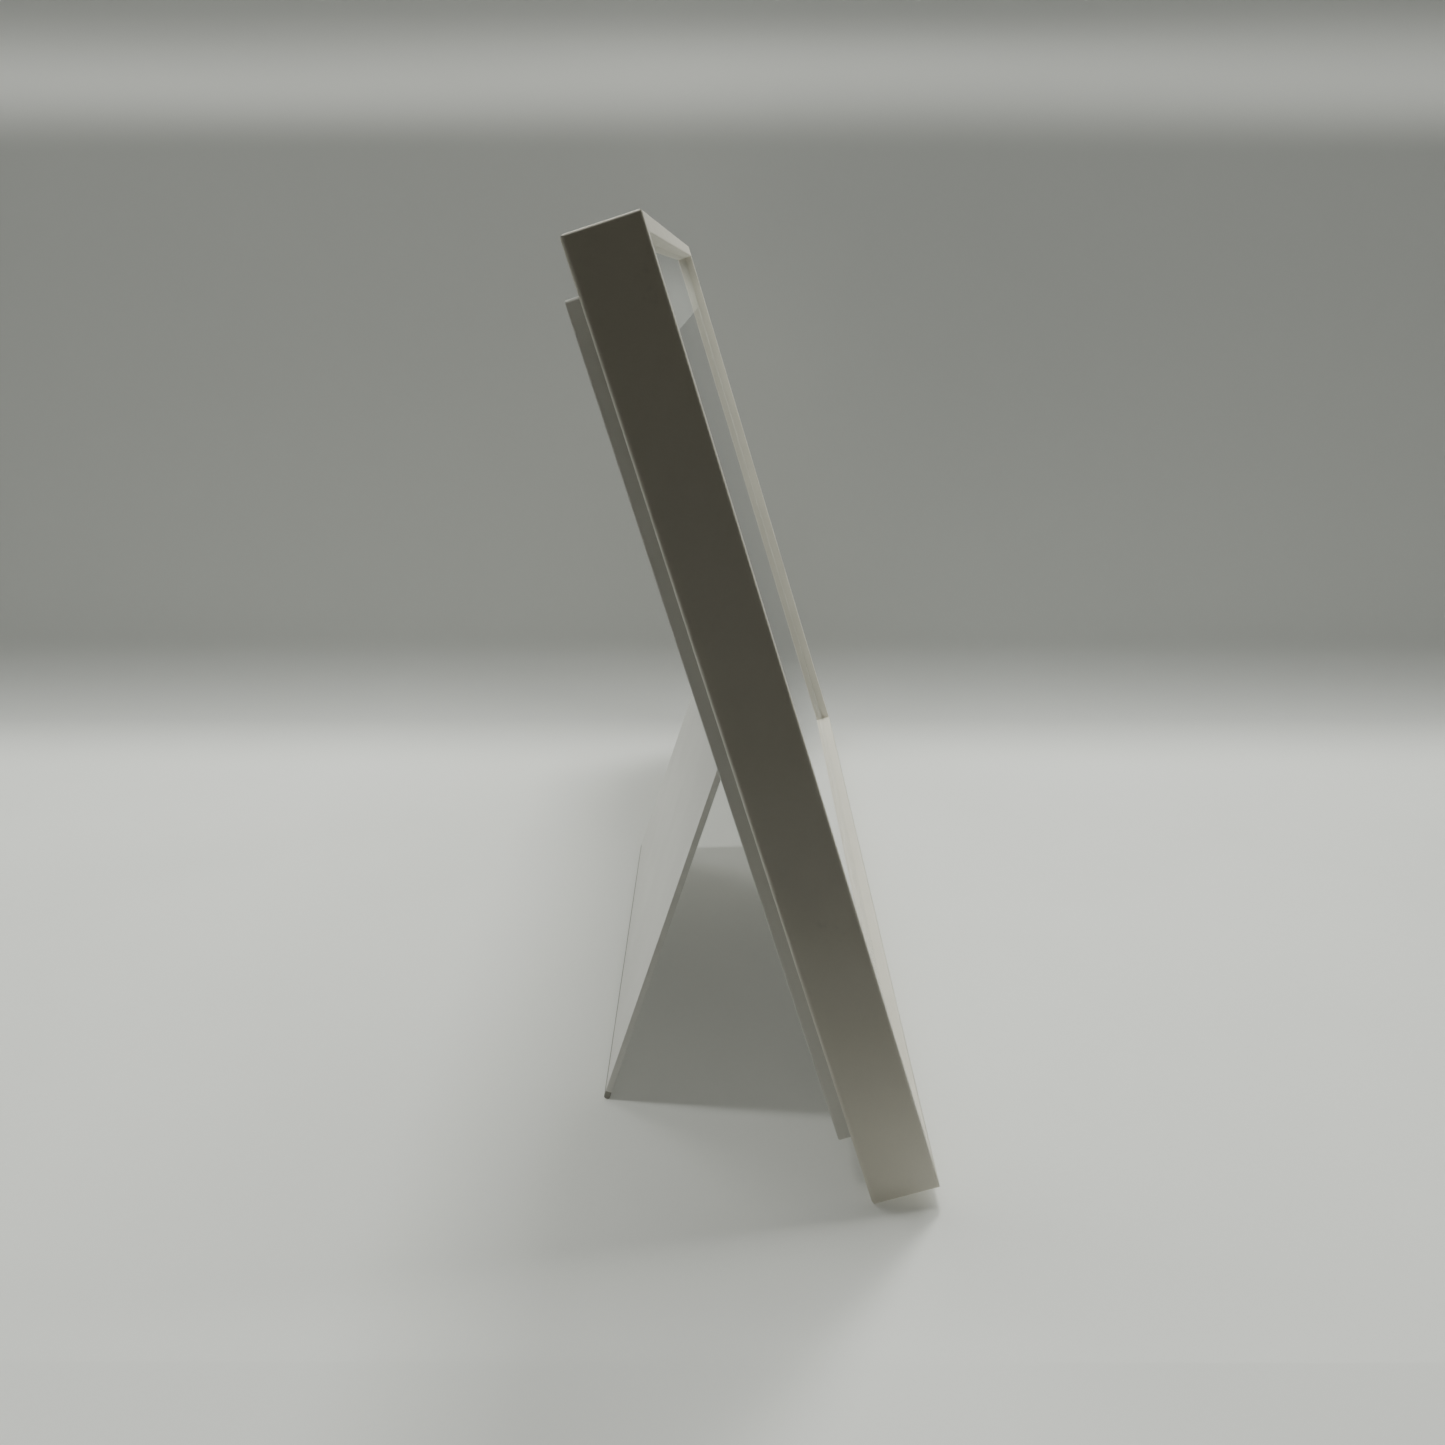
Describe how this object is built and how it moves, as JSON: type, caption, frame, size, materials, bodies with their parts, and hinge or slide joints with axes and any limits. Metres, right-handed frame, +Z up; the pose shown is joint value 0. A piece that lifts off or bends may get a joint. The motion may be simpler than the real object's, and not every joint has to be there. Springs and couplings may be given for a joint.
{
  "type": "digital photo frame",
  "caption": "Slim white digital photo frame with recessed glass, a flat rear box and a hinged back stand that props it at a lean.",
  "frame": {"origin": "bottom centre of the bounding box, on the table, with the stand open on its stop", "axes": "+X across the width to the viewer's right, -Y the way the screen faces, +Y to the stand, +Z up"},
  "size_m": [0.401, 0.0916, 0.2449],
  "materials": {
    "frame_white": "white powder coat on extruded aluminium, fine texture",
    "cover_white": "white moulded plastic with a fine spark texture",
    "stand_white": "white powder coat on sheet aluminium",
    "front_glass": "clear polished float glass",
    "mat_card": "white mat card with a bevelled window",
    "foam_black": "black closed cell foam",
    "screen_black": "black screen under a polarising film",
    "film_clear": "clear optical plastic",
    "sheet_white": "white plastic",
    "light_strip": "white circuit strip with yellow light sources",
    "tray_steel": "zinc plated steel",
    "pin_steel": "bright nickel plated steel",
    "board_green": "green solder mask",
    "chip_black": "black moulded epoxy",
    "pad_grey": "soft grey silicone",
    "sink_aluminium": "bare aluminium",
    "film_amber": "amber film with copper",
    "ribbon_white": "white flat ribbon",
    "lead_black": "black insulated wire",
    "pillar_brass": "plain brass",
    "socket_steel": "tin plated steel",
    "socket_black": "black moulded plastic",
    "speaker_black": "black moulded plastic",
    "cone_grey": "dark pressed paper",
    "washer_nylon": "natural nylon",
    "foot_rubber": "grey rubber",
    "key_white": "white moulded plastic"
  },
  "bodies": {
    "frame": {"frame_rail_bottom": "frame_white", "frame_rail_top": "frame_white", "frame_rail_left": "frame_white", "frame_rail_right": "frame_white", "rear_cover": "cover_white", "cover_glass": "front_glass", "mat_board": "mat_card", "screen_gasket": "foam_black", "speaker_gaskets": "foam_black", "lcd_cell": "screen_black", "light_films": "film_clear", "light_guide": "film_clear", "reflector_sheet": "sheet_white", "screen_rim": "sheet_white", "led_strip": "light_strip", "screen_tray": "tray_steel", "screen_brackets": "tray_steel", "corner_keys": "tray_steel", "keyhole_plates": "tray_steel", "hinge_brackets": "tray_steel", "hinge_pins": "pin_steel", "hinge_screws": "pin_steel", "cover_screws": "pin_steel", "keyhole_screws": "pin_steel", "board_screws": "pin_steel", "bracket_screws": "pin_steel", "key_screws": "pin_steel", "main_board": "board_green", "driver_board": "board_green", "key_board": "board_green", "wireless_module": "board_green", "processor": "chip_black", "memory_chips": "chip_black", "power_parts": "chip_black", "key_switches": "chip_black", "thermal_pad": "pad_grey", "heat_sink": "sink_aluminium", "screen_flexes": "film_amber", "wireless_antenna": "film_amber", "screen_ribbon": "ribbon_white", "key_ribbon": "ribbon_white", "speaker_leads": "lead_black", "antenna_lead": "lead_black", "board_standoffs": "pillar_brass", "usb_socket": "socket_steel", "card_socket": "socket_steel", "dc_socket": "socket_black", "audio_socket": "socket_black", "speaker_left": "speaker_black", "speaker_right": "speaker_black", "speaker_cones": "cone_grey", "hinge_washers": "washer_nylon", "rubber_feet": "foot_rubber"},
    "stand": {"stand_plate": "stand_white", "stand_foot_strip": "foot_rubber"},
    "power_button": {"power_button": "key_white"},
    "menu_button": {"menu_button": "key_white"},
    "back_button": {"back_button": "key_white"},
    "next_button": {"next_button": "key_white"}
  },
  "joints": [
    {"name": "stand_hinge", "type": "hinge", "parent": "frame", "child": "stand", "pos_m": [0, 0.01026, 0.10605], "axis": [-1, 0, 0], "range_deg": [0, 35.3]},
    {"name": "power_key", "type": "slide", "parent": "frame", "child": "power_button", "axis": [0, -0.9558, 0.294], "range_m": [0, 0.0005], "stiffness_N_per_m": 3000, "springref_m": -0.0002},
    {"name": "menu_key", "type": "slide", "parent": "frame", "child": "menu_button", "axis": [0, -0.9558, 0.294], "range_m": [0, 0.0005], "stiffness_N_per_m": 3000, "springref_m": -0.0002},
    {"name": "back_key", "type": "slide", "parent": "frame", "child": "back_button", "axis": [0, -0.9558, 0.294], "range_m": [0, 0.0005], "stiffness_N_per_m": 3000, "springref_m": -0.0002},
    {"name": "next_key", "type": "slide", "parent": "frame", "child": "next_button", "axis": [0, -0.9558, 0.294], "range_m": [0, 0.0005], "stiffness_N_per_m": 3000, "springref_m": -0.0002}
  ]
}
